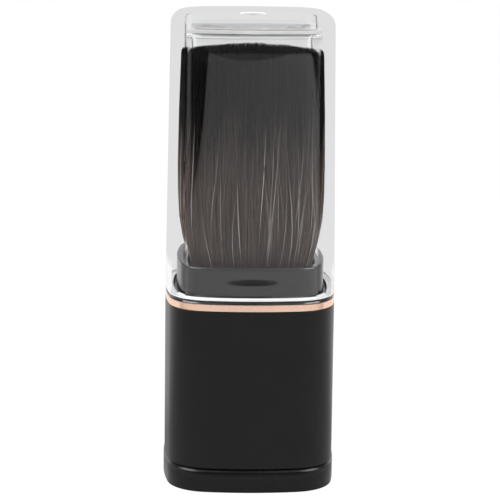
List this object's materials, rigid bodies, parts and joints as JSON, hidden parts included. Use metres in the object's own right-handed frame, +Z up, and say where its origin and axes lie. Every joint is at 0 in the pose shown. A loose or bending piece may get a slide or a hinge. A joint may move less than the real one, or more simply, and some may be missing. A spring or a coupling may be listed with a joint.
{
  "type": "retractable makeup brush",
  "caption": "Square retractable makeup brush: hair tuft on a sliding carriage in a short black case with a metal ring, under a tall clear lift-off cap.",
  "frame": {"origin": "middle of the underside of the base cover, on the surface the brush stands on", "axes": "+Z up along the brush, -Y towards the viewer of the picture"},
  "size_m": [0.0322, 0.0322, 0.088],
  "materials": {
    "base_black": "satin black moulded plastic",
    "sleeve_black": "soft-touch satin black",
    "collar_black": "moulded black plastic",
    "inner_black": "moulded black plastic",
    "inner_grey": "natural moulded plastic",
    "pad_rubber": "silicone rubber",
    "rose_metal": "polished rose-gold plating",
    "ferrule_metal": "drawn aluminium",
    "steel": "zinc plated steel",
    "glue": "cured epoxy",
    "hair": "fine two-tone hair, brown-grey with black tips",
    "clear_plastic": "polished clear moulded plastic"
  },
  "bodies": {
    "carriage": {"base_cover": "base_black", "base_weight": "steel", "slider_tube": "inner_black", "friction_pads": "pad_rubber", "brush_seat": "inner_grey", "ferrule": "ferrule_metal", "glue_bed": "glue", "tuft_front": "hair", "tuft_back": "hair", "tuft_left": "hair", "tuft_right": "hair"},
    "case": {"outer_sleeve": "sleeve_black", "inner_liner": "inner_grey", "lower_guide": "inner_black", "collar": "collar_black", "trim_ring": "rose_metal"},
    "cap": {"clear_cap": "clear_plastic"}
  },
  "joints": [
    {"name": "case_slide", "type": "slide", "parent": "carriage", "child": "case", "axis": [0, 0, 1], "range_m": [0, 0.024], "deforming": ["tuft_front", "tuft_back", "tuft_left", "tuft_right"]},
    {"name": "cap_lift", "type": "slide", "parent": "case", "child": "cap", "axis": [0, 0, 1], "range_m": [0, 0.056]}
  ]
}
